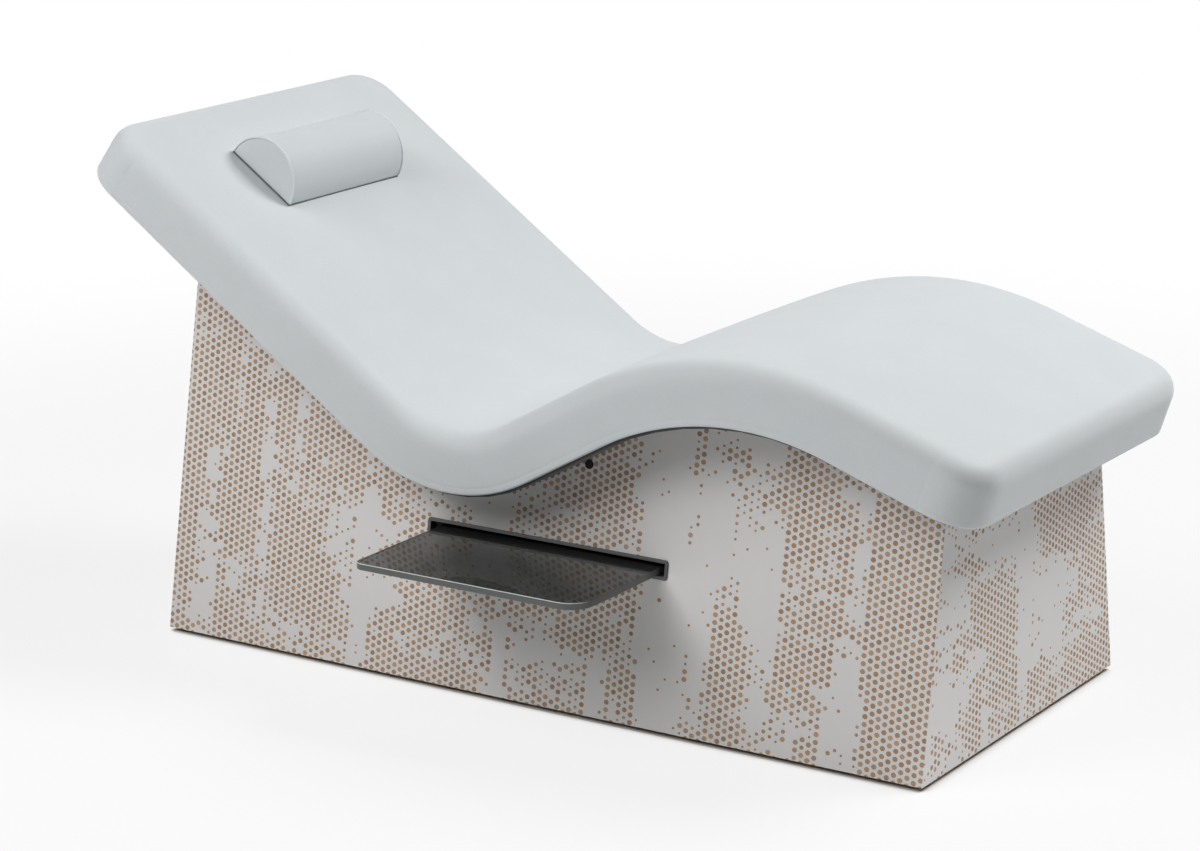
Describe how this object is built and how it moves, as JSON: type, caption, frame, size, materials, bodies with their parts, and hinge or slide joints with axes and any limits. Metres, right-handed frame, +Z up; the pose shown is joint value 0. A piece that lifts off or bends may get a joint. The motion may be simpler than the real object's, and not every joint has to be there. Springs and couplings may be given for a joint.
{
  "type": "spa relaxation lounger",
  "caption": "Spa relaxation lounger: wave-shaped upholstered cushion on a tapered box base, with a half-round head pillow and a glass shelf that slides out of the base's side.",
  "frame": {"origin": "on the floor, at the middle of the plinth's underside", "axes": "+X from the head end to the foot end, +Y across to the side without the shelf, +Z up"},
  "size_m": [1.7922, 0.9659, 0.9273],
  "materials": {
    "upholstery": "satin",
    "foam": "matte",
    "dust_cloth": "matte",
    "plywood": "matte",
    "softwood": "matte",
    "panel": "satin",
    "plinth": "matte",
    "tray": "matte",
    "trim": "satin",
    "anodised": "satin",
    "nylon": "satin",
    "black_rubber": "matte",
    "grey_rubber": "matte",
    "screw": "zinc plated",
    "smoked_glass": "polished"
  },
  "bodies": {
    "base": {"plinth_board": "plinth", "floor_board": "plywood", "shelf_side_panel": "panel", "plain_side_panel": "panel", "head_panel": "panel", "foot_panel": "panel", "head_bulkhead": "plywood", "shelf_bulkhead_head": "plywood", "shelf_bulkhead_foot": "plywood", "foot_bulkhead": "plywood", "corner_battens": "softwood", "deck_cleats": "softwood", "deck_board": "plywood", "dust_cover": "dust_cloth", "firm_foam": "foam", "soft_foam": "foam", "cushion_cover": "upholstery", "slot_trim": "trim", "cable_grommet": "black_rubber", "shelf_tray": "tray", "tray_lid": "tray", "head_side_rail": "anodised", "foot_side_rail": "anodised", "front_glide": "nylon", "front_stops": "black_rubber", "rear_stops": "black_rubber", "plinth_screws": "screw", "panel_screws": "screw", "deck_screws": "screw", "rail_screws": "screw", "lid_screws": "screw"},
    "shelf": {"glass_shelf": "smoked_glass", "shelf_clamp_bar": "anodised", "clamp_gasket": "black_rubber", "head_side_shoe": "nylon", "foot_side_shoe": "nylon", "shoe_screws": "screw"},
    "pillow": {"pillow_cover": "upholstery", "pillow_foam": "foam", "pillow_base": "grey_rubber", "pillow_piping": "upholstery"}
  },
  "joints": [
    {"name": "shelf_slide", "type": "slide", "parent": "base", "child": "shelf", "axis": [0, 1, 0], "range_m": [0, 0.232]},
    {"name": "pillow_slide", "type": "slide", "parent": "base", "child": "pillow", "axis": [0.8211, 0, -0.5707], "range_m": [-0.09, 0.16]}
  ]
}
